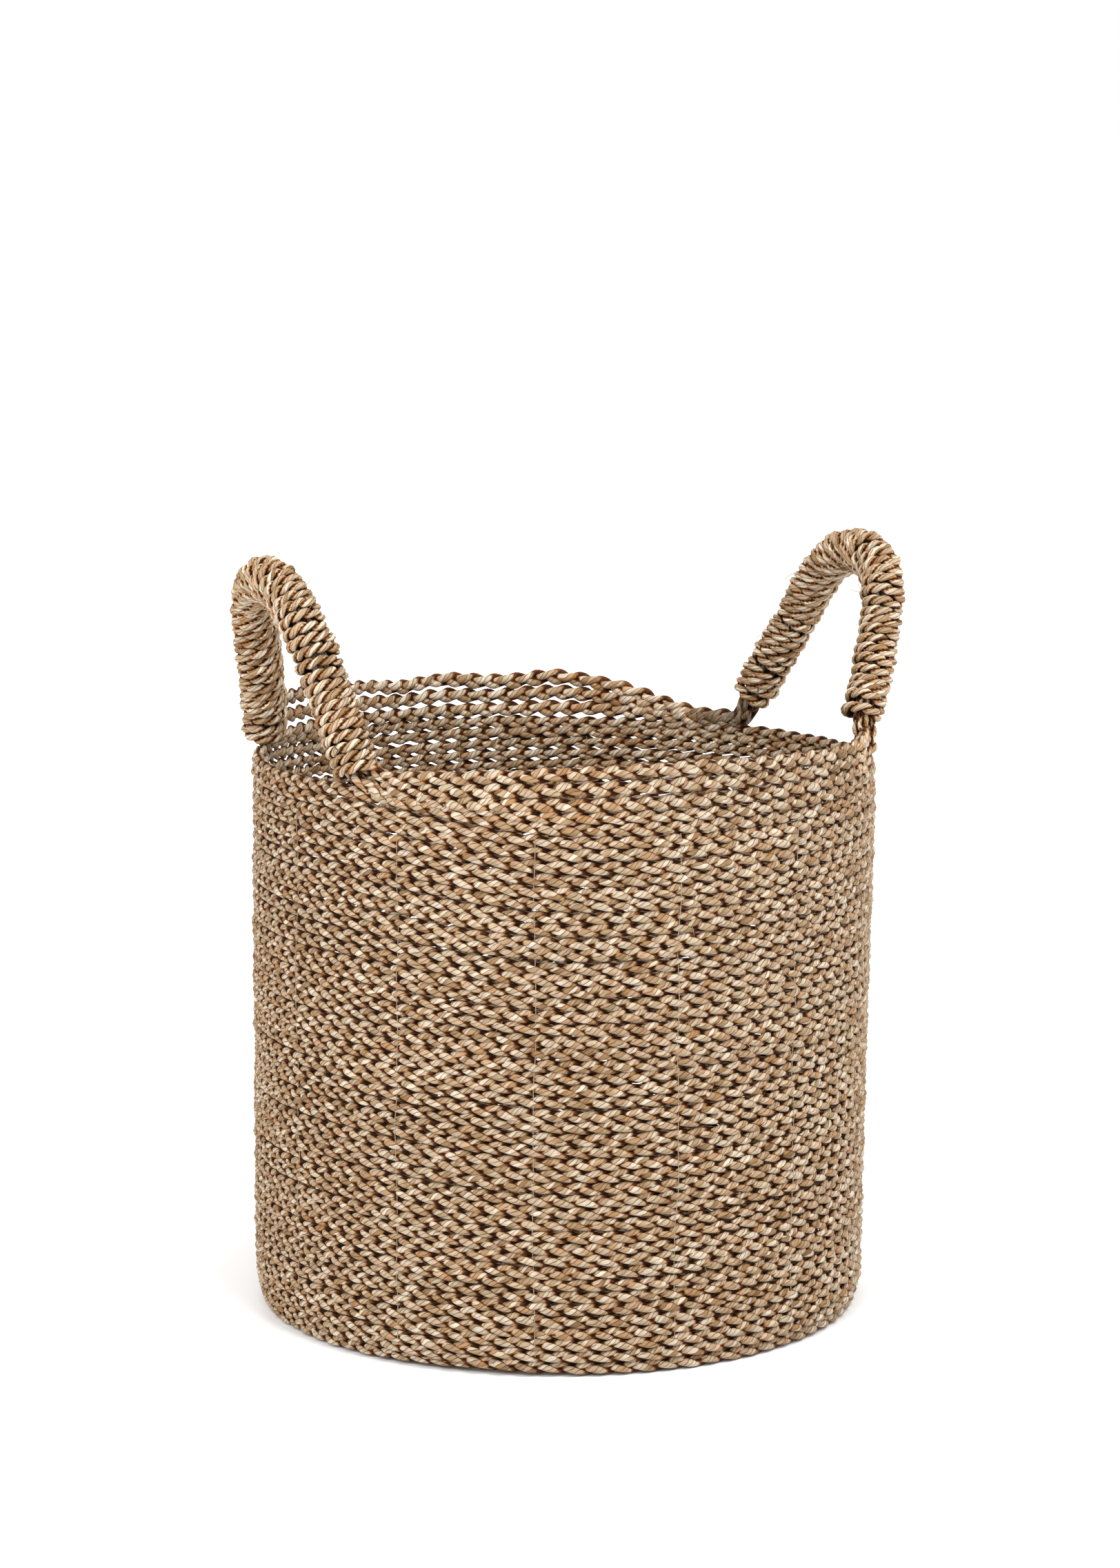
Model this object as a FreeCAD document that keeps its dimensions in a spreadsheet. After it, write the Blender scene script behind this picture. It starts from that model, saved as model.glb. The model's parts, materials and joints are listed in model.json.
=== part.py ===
import FreeCAD, Part

import math
import os

import Sketcher

# A round storage basket, plaited from seagrass and sewn together.
# The origin is the centre of the underside, +Z is up and X runs through the two handles.
# Flat base, straight wall, a low rim under each handle and a raised rim at the front and back.
# The three rim plaits turn up at their ends, run through the handles and are wrapped with rope.

SIZES = {
    "wall_radius": 200,        # outside of the wall
    "wall_thickness": 8,       # one plait, measured through the wall
    "wall_lift": 1.5,          # the lowest course stands this far above the floor
    "wall_edge": 6,            # rounding of the outer bottom edge
    "low_rim": 352,            # height of the rim between the legs of a handle
    "rim_rise": 28,            # the front and back rims stand this far above the low rim
    "base_thickness": 8,
    "base_edge": 2.5,
    "sewing_gap": 0.1,         # clearance between neighbouring plaits
    "row_gap": 0.3,            # clearance between the looser rim plaits
    "rim_edge": 3,             # rounding of a rim plait
    "thread_radius": 0.6,
    "thread_margin": 14,       # threads stop this far from the edges they sew
    "thread_start": 22,        # the base threads start this far from the centre
    "leg_angle": 31.7,         # each leg stands this many degrees from the handle's middle
    "handle_lean": 15.7,       # outward lean of the handles at rest
    "leg_splay": 26.8,         # the legs lean towards each other by this angle
    "arch_rise": 133,          # low rim to the handle's middle line, along the handle
    "bundle_radius": 7.25,     # three plaits side by side
    "wrap_thickness": 7,       # rope wound round the bundle
    "hinge_rise": 24,          # height of the bending line above the low rim
    "hinge_gap": 0.35,
    "cup_angle": 50,           # the cup of a leg root reaches this far from its lowest point
    "wrap_setback": 6.5,       # the wrap starts this far beyond the bending line
}

WALL_LENGTHS = 7
RIM_PLAITS = 3
STITCH_COLUMNS = 14
BUNDLE_ANGLES = (90, 210, 330)
ENDS = {"right": 1, "left": -1}
SIDES = {"back": 1, "front": -1}

# Lengths and angles that several pieces share, as sheet expressions.
WALL_MIDDLE = "(sizes.wall_radius - sizes.wall_thickness / 2)"
WALL_INSIDE = "(sizes.wall_radius - sizes.wall_thickness)"
RIM_PITCH = f"(sizes.rim_rise / {RIM_PLAITS})"
ROOT_X = f"({WALL_MIDDLE} * cos(sizes.leg_angle))"
ROOT_Y = f"({WALL_MIDDLE} * sin(sizes.leg_angle))"
LEG_SIN = "sin(sizes.leg_splay)"
LEG_COS = "cos(sizes.leg_splay)"
LEG_UP = f"({LEG_COS} * cos(sizes.handle_lean))"
HINGE_REACH = f"(sizes.hinge_rise / {LEG_UP})"
ARCH_RADIUS = f"(({ROOT_Y} * {LEG_COS} - sizes.arch_rise * {LEG_SIN}) / (1 - {LEG_SIN}))"
ARCH_CENTRE = f"(sizes.arch_rise - {ARCH_RADIUS})"
# Three equal circles fill the bundle: each has this share of its radius.
PLAIT_RADIUS = "((sizes.bundle_radius - sizes.sewing_gap / 2) / (1 + 2 / sqrt(3)))"
PLAIT_OFFSET = f"(sizes.bundle_radius - {PLAIT_RADIUS})"
STRAND_RADIUS = f"({PLAIT_RADIUS} - sizes.sewing_gap / 2)"

doc = FreeCAD.newDocument("seagrass_basket")
sizes = doc.addObject("Spreadsheet::Sheet", "sizes")


def fill_sheet():
    for row, (alias, value) in enumerate(SIZES.items(), start=1):
        sizes.set(f"A{row}", alias)
        sizes.set(f"B{row}", str(value))
        sizes.setAlias(f"B{row}", alias)
    doc.recompute()


def number(expression):
    """The present value of a sheet expression, as a plain number."""
    value = sizes.evalExpression(str(expression))
    return float(getattr(value, "Value", value))


def bind(thing, **expressions):
    """Ties properties to the sheet. A double underscore in a name stands for a dot."""
    for name, expression in expressions.items():
        thing.setExpression(name.replace("__", "."), str(expression))


def origin_plane(body, role):
    return next(plane for plane in body.Origin.OriginFeatures if plane.Role == role)


def flat_sketch(body, name, role):
    sketch = body.newObject("Sketcher::SketchObject", name)
    sketch.AttachmentSupport = [(origin_plane(body, role), "")]
    sketch.MapMode = "FlatFace"
    return sketch


def pin_point(sketch, element, end, name, across, up):
    """Holds one point of a sketch at two distances from its origin, bound to the sheet."""
    for kind, label, expression in (("DistanceX", "x", across), ("DistanceY", "y", up)):
        rule = Sketcher.Constraint(kind, -1, 1, element, end, number(expression))
        index = sketch.addConstraint(rule)
        sketch.renameConstraint(index, f"{name}_{label}")
        sketch.setExpression(f"Constraints.{name}_{label}", str(expression))


def outline(sketch, corners):
    """A closed polygon through corners given as pairs of sheet expressions."""
    points = [FreeCAD.Vector(number(across), number(up), 0) for across, up in corners]
    for index, point in enumerate(points):
        sketch.addGeometry(Part.LineSegment(point, points[(index + 1) % len(points)]))
    for index, (across, up) in enumerate(corners):
        before = (index - 1) % len(corners)
        sketch.addConstraint(Sketcher.Constraint("Coincident", before, 2, index, 1))
        pin_point(sketch, index, 1, f"corner{index}", across, up)


def turned_body(label, corners, angle="360"):
    """A ring or disc: an outline of radius and height, turned about the basket's axis."""
    body = doc.addObject("PartDesign::Body", label)
    body.Label = label
    profile = flat_sketch(body, f"{label}_profile", "XZ_Plane")
    outline(profile, corners)
    turn = body.newObject("PartDesign::Revolution", f"{label}_turn")
    turn.Profile = profile
    turn.ReferenceAxis = (profile, ["V_Axis"])
    bind(turn, Angle=angle)
    profile.Visibility = False
    doc.recompute()
    return body, turn


def round_edges(body, feature, chosen, radius):
    """Rounds the edges of a feature that the test picks out."""
    names = [f"Edge{i}" for i, edge in enumerate(feature.Shape.Edges, start=1) if chosen(edge)]
    fillet = body.newObject("PartDesign::Fillet", f"{body.Label}_edges")
    fillet.Base = (feature, names)
    bind(fillet, Radius=radius)
    doc.recompute()


def circle_at_height(height):
    """Picks closed edges that run level at one height."""
    def chosen(edge):
        box = edge.BoundBox
        return box.ZLength < 1e-6 and abs(box.ZMin - height) < 1e-6 and edge.Closed
    return chosen


def base_coil():
    """The flat spiral of plait that the basket stands on."""
    reach = f"({WALL_INSIDE} - sizes.sewing_gap)"
    corners = [("0", "0"), (reach, "0"), (reach, "sizes.base_thickness"), ("0", "sizes.base_thickness")]
    body, disc = turned_body("base_coil", corners)
    round_edges(body, disc, circle_at_height(0), "sizes.base_edge")
    return [body]


def wall_plaits():
    """The wall, as the lengths of plait that are wound one on top of the other."""
    lengths = []
    rise = f"((sizes.low_rim - sizes.wall_lift) / {WALL_LENGTHS})"
    for index in range(WALL_LENGTHS):
        foot = f"(sizes.wall_lift + {index} * {rise})"
        head = f"(sizes.wall_lift + {index + 1} * {rise})"
        corners = [(WALL_INSIDE, foot), ("sizes.wall_radius", foot), ("sizes.wall_radius", head),
                   (WALL_INSIDE, head)]
        body, ring = turned_body(f"wall_plait_{index + 1}", corners)
        if index == 0:
            outer = number("sizes.wall_radius")
            at_foot = circle_at_height(number(foot))
            round_edges(body, ring, lambda edge: at_foot(edge) and edge.BoundBox.XMax > outer - 1,
                        "sizes.wall_edge")
        lengths.append(body)
    return lengths


def rim_plaits():
    """Three looser plaits on the front and three on the back, from leg to leg."""
    plaits = []
    for side, sign in SIDES.items():
        for index in range(RIM_PLAITS):
            foot = f"(sizes.low_rim + {index} * {RIM_PITCH} + sizes.row_gap / 2)"
            head = f"(sizes.low_rim + {index + 1} * {RIM_PITCH} - sizes.row_gap / 2)"
            # The leg root leans away as it rises, so each plait runs up to it at its own height.
            leg_y = f"({ROOT_Y} - ({foot} - sizes.low_rim) / cos(sizes.handle_lean) * tan(sizes.leg_splay))"
            stop = f"(asin(({leg_y} + sizes.bundle_radius / {LEG_COS} + sizes.row_gap) / {WALL_INSIDE}) / 1 deg)"
            corners = [(WALL_INSIDE, foot), ("sizes.wall_radius", foot), ("sizes.wall_radius", head),
                       (WALL_INSIDE, head)]
            label = f"{side}_rim_plait_{index + 1}"
            body, arc = turned_body(label, corners, f"180 - 2 * {stop}")
            round_edges(body, arc, lambda edge: edge.Length > number(WALL_MIDDLE), "sizes.rim_edge")
            middle = 90 * sign
            body.Placement = FreeCAD.Placement(FreeCAD.Vector(), FreeCAD.Rotation(FreeCAD.Vector(0, 0, 1), 1))
            half = f"(90 - {stop})"
            bind(body, Placement__Rotation__Angle=f"{middle} - {half}")
            plaits.append(body)
    return plaits


def place_on_rim(piece, sign):
    """Leans a piece built in an upright handle plane outwards and stands it on the rim."""
    piece.Placement = FreeCAD.Placement(FreeCAD.Vector(), FreeCAD.Rotation(FreeCAD.Vector(0, 1, 0), 1))
    bind(piece, Placement__Rotation__Angle=f"{sign} * sizes.handle_lean",
         Placement__Base__x=f"{sign} * {ROOT_X}", Placement__Base__z="sizes.low_rim")


def leg_point(reach):
    """Across and up, for a point of the back leg's middle line, at a distance from its root."""
    return f"({ROOT_Y} - ({reach}) * {LEG_SIN})", f"(({reach}) * {LEG_COS})"


def arch_path(body, reach):
    """Leg, arch and leg of a handle, starting at a distance along each leg."""
    path = flat_sketch(body, f"{body.Label}_path", "YZ_Plane")
    start = leg_point(reach)
    turn = (f"({ARCH_RADIUS} * {LEG_COS})", f"({ARCH_CENTRE} + {ARCH_RADIUS} * {LEG_SIN})")
    across, up = number(turn[0]), number(turn[1])
    foot = FreeCAD.Vector(number(start[0]), number(start[1]), 0)
    bend = FreeCAD.Vector(across, up, 0)
    top = FreeCAD.Vector(0, number("sizes.arch_rise"), 0)
    mirror = FreeCAD.Vector(-1, 1, 1)
    far_bend = FreeCAD.Vector(bend.x * mirror.x, bend.y, 0)
    far_foot = FreeCAD.Vector(foot.x * mirror.x, foot.y, 0)
    path.addGeometry(Part.LineSegment(foot, bend))
    path.addGeometry(Part.Arc(bend, top, far_bend))
    path.addGeometry(Part.LineSegment(far_bend, far_foot))
    path.addConstraint(Sketcher.Constraint("Coincident", 0, 2, 1, 1))
    path.addConstraint(Sketcher.Constraint("Coincident", 1, 2, 2, 1))
    pin_point(path, 0, 1, "foot", *start)
    pin_point(path, 0, 2, "bend", *turn)
    pin_point(path, 1, 3, "centre", "0", ARCH_CENTRE)
    pin_point(path, 2, 2, "far_foot", f"-1 * {start[0]}", start[1])
    rule = Sketcher.Constraint("DistanceY", -1, 1, 2, 1, up)
    index = path.addConstraint(rule)
    path.renameConstraint(index, "far_bend_y")
    path.setExpression("Constraints.far_bend_y", turn[1])
    return path


def leg_section(body, reach, circles):
    """Circles drawn square to the back leg, each given as across, up and radius."""
    section = flat_sketch(body, f"{body.Label}_section", "XY_Plane")
    turned = FreeCAD.Rotation(FreeCAD.Vector(1, 0, 0), 1)
    section.AttachmentOffset = FreeCAD.Placement(FreeCAD.Vector(), turned)
    along, up = leg_point(reach)
    bind(section, AttachmentOffset__Base__y=along, AttachmentOffset__Base__z=up,
         AttachmentOffset__Rotation__Angle="sizes.leg_splay")
    for index, (across, high, radius) in enumerate(circles):
        centre = FreeCAD.Vector(number(across), number(high), 0)
        section.addGeometry(Part.Circle(centre, FreeCAD.Vector(0, 0, 1), number(radius)))
        pin_point(section, index, 3, f"centre{index}", across, high)
        rule = section.addConstraint(Sketcher.Constraint("Radius", index, number(radius)))
        section.renameConstraint(rule, f"radius{index}")
        section.setExpression(f"Constraints.radius{index}", radius)
    return section


def arch_pipe(label, reach, circles):
    """A body swept from leg to leg over the arch."""
    body = doc.addObject("PartDesign::Body", label)
    body.Label = label
    path = arch_path(body, reach)
    section = leg_section(body, reach, circles)
    pipe = body.newObject("PartDesign::AdditivePipe", f"{label}_pipe")
    pipe.Profile = section
    pipe.Spine = (path, [])
    path.Visibility = False
    section.Visibility = False
    doc.recompute()
    return body


def handle_wrap(end, sign):
    """The rope wound round the bundle, as a tube with the bundle's own hole."""
    reach = f"({HINGE_REACH} + sizes.wrap_setback)"
    hole = "(sizes.bundle_radius + sizes.sewing_gap)"
    outside = "(sizes.bundle_radius + sizes.wrap_thickness)"
    wrap = arch_pipe(f"{end}_handle_wrap", reach, [("0", "0", outside), ("0", "0", hole)])
    place_on_rim(wrap, sign)
    return wrap


def bending_ball(name, radius, side_sign):
    """A ball about one end of a handle's bending line."""
    ball = doc.addObject("Part::Sphere", name)
    across, up = leg_point(HINGE_REACH)
    bind(ball, Radius=radius, Placement__Base__y=f"{side_sign} * {across}", Placement__Base__z=up)
    return ball


def handle_keep(end):
    """The space a handle's plaits may fill: above the bending line, and a ball at each end of it."""
    room = doc.addObject("Part::Box", f"{end}_room")
    half = f"({ROOT_Y} + sizes.wall_radius)"
    line = leg_point(HINGE_REACH)[1]
    bind(room, Length=f"2 * {half}", Width=f"2 * {half}", Height="2 * sizes.arch_rise",
         Placement__Base__x=f"-1 * {half}", Placement__Base__y=f"-1 * {half}", Placement__Base__z=line)
    keep = doc.addObject("Part::MultiFuse", f"{end}_keep")
    balls = [bending_ball(f"{end}_{side}_ball", "sizes.bundle_radius", sign) for side, sign in SIDES.items()]
    keep.Shapes = [room] + balls
    return keep


def handle_plaits(end, sign):
    """The three plaits inside a handle, with domed ends at the bending line."""
    plaits = []
    keep = handle_keep(end)
    for index, angle in enumerate(BUNDLE_ANGLES, start=1):
        across = f"({PLAIT_OFFSET} * cos({angle}))"
        up = f"({PLAIT_OFFSET} * sin({angle}))"
        reach = f"({HINGE_REACH} - sizes.bundle_radius)"
        pipe = arch_pipe(f"{end}_core_sweep_{index}", reach, [(across, up, STRAND_RADIUS)])
        plait = doc.addObject("Part::Common", f"{end}_handle_plait_{index}")
        plait.Base = pipe
        plait.Tool = keep
        place_on_rim(plait, sign)
        plaits.append(plait)
    return plaits


def leg_root(end, sign, side, side_sign):
    """The rim plaits gathered side by side at the foot of a leg, with a cup at the bending line."""
    # The slanted foot clears the low rim by the sewing gap.
    foot = f"((sizes.sewing_gap + sizes.bundle_radius * sqrt(1 - {LEG_UP} ^ 2)) / {LEG_UP})"
    head = f"({HINGE_REACH} - (sizes.bundle_radius + sizes.hinge_gap) * cos(sizes.cup_angle))"
    strands = []
    for index, angle in enumerate(BUNDLE_ANGLES, start=1):
        strand = doc.addObject("Part::Cylinder", f"{end}_{side}_strand_{index}")
        tilt = FreeCAD.Rotation(FreeCAD.Vector(1, 0, 0), 1)
        strand.Placement = FreeCAD.Placement(FreeCAD.Vector(), tilt)
        along, up = leg_point(foot)
        lift = f"({PLAIT_OFFSET} * sin({angle}))"
        bind(strand, Radius=STRAND_RADIUS, Height=f"{head} - {foot}",
             Placement__Base__x=f"{PLAIT_OFFSET} * cos({angle})",
             Placement__Base__y=f"{side_sign} * ({along} + {lift} * {LEG_COS})",
             Placement__Base__z=f"{up} + {lift} * {LEG_SIN}",
             Placement__Rotation__Angle=f"{side_sign} * sizes.leg_splay")
        strands.append(strand)
    bundle = doc.addObject("Part::MultiFuse", f"{end}_{side}_bundle")
    bundle.Shapes = strands
    cup = bending_ball(f"{end}_{side}_cup", "sizes.bundle_radius + sizes.hinge_gap", side_sign)
    root = doc.addObject("Part::Cut", f"{end}_{side}_leg_root")
    root.Base = bundle
    root.Tool = cup
    place_on_rim(root, sign)
    return root


def thread(name, length):
    """One straight run of sewing thread, standing up until it is placed."""
    run = doc.addObject("Part::Cylinder", name)
    bind(run, Radius="sizes.thread_radius", Height=length)
    return run


def gathered(label, runs):
    """Separate runs of thread, kept as one group of solids."""
    group = doc.addObject("Part::Compound", label)
    group.Links = runs
    return group


def wall_stitching():
    """Upright threads on the outside of the wall, a fixed number round it."""
    runs = []
    out = "(sizes.wall_radius + sizes.sewing_gap / 2 + sizes.thread_radius)"
    for index in range(STITCH_COLUMNS):
        turn = 360 * (index + 0.5) / STITCH_COLUMNS
        run = thread(f"wall_thread_{index + 1}", "sizes.low_rim - 2 * sizes.thread_margin")
        bind(run, Placement__Base__x=f"{out} * cos({turn})", Placement__Base__y=f"{out} * sin({turn})",
             Placement__Base__z="sizes.thread_margin")
        runs.append(run)
    return gathered("wall_stitching", runs)


def base_stitching():
    """Threads that run outwards over the inside of the base."""
    runs = []
    level = "(sizes.base_thickness + sizes.sewing_gap / 2 + sizes.thread_radius)"
    for index in range(STITCH_COLUMNS):
        turn = 360 * (index + 0.5) / STITCH_COLUMNS
        length = f"{WALL_INSIDE} - sizes.thread_start - sizes.thread_margin / 2"
        run = thread(f"base_thread_{index + 1}", length)
        sideways = FreeCAD.Vector(-math.sin(math.radians(turn)), math.cos(math.radians(turn)), 0)
        run.Placement = FreeCAD.Placement(FreeCAD.Vector(), FreeCAD.Rotation(sideways, 90))
        bind(run, Placement__Base__x=f"sizes.thread_start * cos({turn})",
             Placement__Base__y=f"sizes.thread_start * sin({turn})", Placement__Base__z=level)
        runs.append(run)
    return gathered("base_stitching", runs)


def build():
    fill_sheet()
    pieces = base_coil() + wall_plaits() + rim_plaits()
    for end, sign in ENDS.items():
        pieces += [leg_root(end, sign, side, side_sign) for side, side_sign in SIDES.items()]
        pieces += handle_plaits(end, sign)
        pieces.append(handle_wrap(end, sign))
    pieces += [wall_stitching(), base_stitching()]
    doc.recompute()
    return pieces


def check(pieces):
    """Stops before anything is written if an object failed or a piece isn't a sound solid."""
    for thing in doc.Objects:
        if "Invalid" in thing.State or "Error" in thing.State:
            raise RuntimeError(f"{thing.Label} did not build: {thing.State}")
    for piece in pieces:
        shape = piece.Shape
        if shape.isNull() or not shape.isValid() or not shape.Solids:
            raise RuntimeError(f"{piece.Label} is not a valid solid")


def export(pieces):
    os.makedirs("parts", exist_ok=True)
    for piece in pieces:
        piece.Shape.exportStep(f"parts/{piece.Label}.step")
        box = piece.Shape.BoundBox
        print(f"{piece.Label}: {len(piece.Shape.Solids)} solids, {piece.Shape.Volume / 1000:.2f} cm3, "
              f"z {box.ZMin:.1f} to {box.ZMax:.1f}")


finished = build()
check(finished)
export(finished)
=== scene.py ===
import json
import math

import bmesh
import bpy
import numpy as np
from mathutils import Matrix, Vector


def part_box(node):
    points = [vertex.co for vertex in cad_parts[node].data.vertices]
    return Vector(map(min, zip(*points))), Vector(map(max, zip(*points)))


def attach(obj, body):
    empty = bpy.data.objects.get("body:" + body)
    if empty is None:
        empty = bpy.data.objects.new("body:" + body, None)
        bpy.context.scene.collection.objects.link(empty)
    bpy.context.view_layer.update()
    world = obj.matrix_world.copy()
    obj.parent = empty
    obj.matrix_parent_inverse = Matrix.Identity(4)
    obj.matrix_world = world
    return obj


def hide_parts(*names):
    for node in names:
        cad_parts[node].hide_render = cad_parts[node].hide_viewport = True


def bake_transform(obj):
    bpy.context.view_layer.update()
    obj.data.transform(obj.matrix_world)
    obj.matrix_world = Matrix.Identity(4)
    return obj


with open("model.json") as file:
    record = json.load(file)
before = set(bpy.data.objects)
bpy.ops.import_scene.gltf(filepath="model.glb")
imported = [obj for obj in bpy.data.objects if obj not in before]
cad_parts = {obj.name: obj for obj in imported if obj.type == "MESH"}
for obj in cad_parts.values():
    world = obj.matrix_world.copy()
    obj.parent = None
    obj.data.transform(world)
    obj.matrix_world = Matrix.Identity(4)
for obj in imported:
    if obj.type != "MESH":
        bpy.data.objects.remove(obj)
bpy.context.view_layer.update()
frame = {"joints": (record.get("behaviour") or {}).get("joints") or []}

# A round seagrass basket: every course of the wall and base is a real plait of three strands.
# Lengths are metres. The basket stands at the origin, +X towards the right handle, -Y in front.

MM = 0.001
TURN = 2 * math.pi

# The basket's own sizes, read from the frame.
wall_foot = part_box("wall_plait_1")[0].z
low_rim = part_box("wall_plait_7")[1].z
wall_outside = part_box("wall_plait_4")[1].x
base_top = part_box("base_coil")[1].z
hinges = {joint["child"]: Vector(joint["pos_m"]) for joint in frame["joints"]}
WRAP_RADIUS = 14.25 * MM  # of the plain wrap, whose outside the box measures
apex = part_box("right_handle_wrap")[1] - Vector((WRAP_RADIUS, 0, WRAP_RADIUS))
handle_lean = math.atan2(apex.x - hinges["right_handle"].x, apex.z - hinges["right_handle"].z)

# Plait. It stands on edge in the wall and lies flat in the base.
PERIOD = 43 * MM          # one strand crosses the plait and comes back in this length
STEPS_PER_PERIOD = 16
FINE_STEPS = 24           # the same, where a plait is seen close to or bends sharply
COARSE_STEPS = 8          # and where it is hidden
STRAND_WIDE = 4.6 * MM
STRAND_DEEP = 3.6 * MM
SWING = 1.95 * MM         # how far a strand runs from the middle line, across the plait
DIVE = 1.9 * MM           # and in and out of it
LEAVES = 4                # leaves rolled together in a strand
LEAF_LAY = 16 * MM        # their edges run round the strand once in this length

# Wall.
WALL_THICKNESS = 8 * MM
WALL_MIDDLE = wall_outside - WALL_THICKNESS / 2
COURSES = 46
WALL_PIECES = 7
PITCH = (low_rim - wall_foot) / COURSES
STEP_START = -155         # degrees round where each course steps down to the next
STEP_SPAN = 50
FOOT_TUCK = 4 * MM        # how far the wall is drawn in at its foot
LEFT_LIFT = 9 * MM        # how far the low rim is lifted at the left

# The soft basket's own shape, to the right of upright.
SETTLE = 1.6 * MM         # at the low rim
BULGE = 3.2 * MM          # added at the right legs
DRAWN_IN = 2.5 * MM       # taken off at the foot's right side

# Base.
BASE_EDGE = WALL_MIDDLE - FOOT_TUCK - WALL_THICKNESS / 2 + 1 * MM
COIL_PITCH = 7.5 * MM
BASE_STEPS = 10           # a base strand's steps in one period
REST = 1 * MM             # what touches the floor is pressed flat within this height

# Raised rim. Its top edge, as degrees round from the right and millimetres up.
BACK_EDGE = ((31, 357), (42, 357), (48, 364), (57, 375), (64, 381), (71, 385), (79, 381), (86, 382),
             (94, 385), (103, 381), (110, 384), (127, 388), (141, 389), (149, 386))
FRONT_EDGE = ((-149, 368), (-137, 373), (-124, 377), (-105, 381), (-87, 382), (-66, 379),
              (-54, 377), (-40, 377), (-31, 376))
RIM_CUT = 82 * MM         # a rim plait's end, as far as this, belongs to its leg
LOW_TURN = (3 * MM, 1.5)  # how far down a leg the plaits reach, and degrees of rim left clear
EASY_TURN = (20 * MM, 5.5)

# Handles.
LEG_ANGLE = math.radians(31.7)
LEG_SPLAY = math.radians(26.8)
CORE_SPREAD = 4.2 * MM    # middles of the bunched plaits from the middle of a leg
LEG_END = 50 * MM         # the leg pieces end this far up a leg, inside the rope
BEND_SPAN = (17 * MM, 38 * MM)   # a leg bends between these lengths up it

# How far each soft handle stands to the right of its plain shape, in millimetres, from its front
# root (0) over the arch to its back root (1).
RIGHT_STAND = ((0, 2), (0.05, -2), (0.10, -6), (0.16, -2.5), (0.26, 2.5), (0.38, 5), (0.5, 1.5),
               (0.62, 0.5), (0.75, 1), (0.88, -1.5), (1, 0))
LEFT_STAND = ((0, 0), (0.10, 2.5), (0.25, 5.5), (0.38, 6), (0.5, 4.5), (0.62, 4), (0.77, 2.5),
              (0.88, 2), (0.94, 0), (1, -2))
LEFT_SAG = 2.5 * MM

# The rope wound round a handle. It has two plies.
PLY_WIDE = 4.2 * MM
PLY_TWIST = 17 * MM
STEPS_PER_TWIST = 9
FIRST_PLY = 7             # plies are numbered from here, so that their colours aren't the plaits'
TURN_RADIUS = 11.8 * MM   # middle of the rope from the middle of the handle
TURN_PITCH = 7.1 * MM
STEPS_PER_TURN = 24
WRAP_FOOT = 34.5 * MM     # the turns that move with a handle begin this far up a leg

# Sewing threads and loose fibres.
THREAD = 0.5 * MM
THREADS = 14
WALL_FIBRES = 60
HANDLE_FIBRES = 9

# Where each kind of random wandering starts.
SWAY_SEED = 4
WALL_SEED = 100
BASE_SEED = 300
RIM_SEED = 500
CORE_SEED = 700
WRAP_SEED = 800
WALL_THREAD_SEED = 900
BASE_THREAD_SEED = 960
FIBRE_SEED = 77

scene = bpy.context.scene


# ---- Shapes of lines ----

def wander(along, wavelength, seed):
    """Smooth wandering between -1 and 1 along a length that is never negative."""
    place = np.asarray(along, float) / wavelength
    knots = np.random.default_rng(seed).uniform(-1, 1, int(place.max()) + 3)
    low = np.floor(place).astype(int)
    share = place - low
    share = share * share * (3 - 2 * share)
    return knots[low] * (1 - share) + knots[low + 1] * share


def smooth_between(low, high, value):
    share = np.clip((value - low) / (high - low), 0, 1)
    return share * share * (3 - 2 * share)


def unit(vectors):
    return vectors / np.linalg.norm(vectors, axis=-1, keepdims=True)


def rounded(points, rounds=4):
    """Cuts the corners of a coarse line until it runs smoothly. Its ends stay where they are."""
    line = np.array(points, float)
    for _ in range(rounds):
        near, far = line[:-1], line[1:]
        cut = np.stack([0.75 * near + 0.25 * far, 0.25 * near + 0.75 * far], 1).reshape(-1, 3)
        line = np.concatenate([line[:1], cut, line[-1:]])
    return line


def settled(line):
    """The basket has settled a little to the right of upright, and bulges at the right legs."""
    height = np.clip(line[:, 2], 0, None)
    near_wall = np.clip(np.hypot(line[:, 0], line[:, 1]) / BASE_EDGE, 0, 1) ** 2
    around = np.arctan2(line[:, 1], line[:, 0])
    right_side = np.clip(np.cos(around), 0, 1) ** 2
    bulge = smooth_between(0.15, 0.34, height) * right_side
    drawn_in = (1 - smooth_between(0, 0.20, height)) * right_side * near_wall
    moved = np.array(line, float)
    moved[:, 0] += SETTLE * (height / low_rim) ** 2 + BULGE * bulge - DRAWN_IN * drawn_in
    return moved


class Route:
    """A middle line with, at each place, the way outwards and the way across."""

    def __init__(self, line, outwards):
        self.line = np.asarray(line, float)
        gaps = np.linalg.norm(np.diff(self.line, axis=0), axis=1)
        self.reach = np.concatenate([[0], np.cumsum(gaps)])
        ahead = unit(np.gradient(self.line, self.reach, axis=0))
        side = outwards - (outwards * ahead).sum(1, keepdims=True) * ahead
        self.out = unit(side)
        self.across = np.cross(self.out, ahead)
        self.length = self.reach[-1]

    def at(self, reach, values):
        return np.stack([np.interp(reach, self.reach, column) for column in values.T], 1)

    def bend(self, points):
        """Carries points of a straight piece, drawn along X, to the route. -Y is outwards."""
        reach = points[:, 0]
        line = self.at(reach, self.line)
        out = self.at(reach, self.out)
        across = self.at(reach, self.across)
        return line - out * points[:, 1:2] + across * points[:, 2:3]


def radial(line):
    """The way out from the basket's axis."""
    return unit(line * np.array([1, 1, 0]))


def softened(line, spread):
    """Rounds off a line's small corners. Its ends stay where they are."""
    soft = np.array(line)
    for _ in range(spread):
        soft[1:-1] = (soft[:-2] + 2 * soft[1:-1] + soft[2:]) / 4
    return soft


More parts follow.
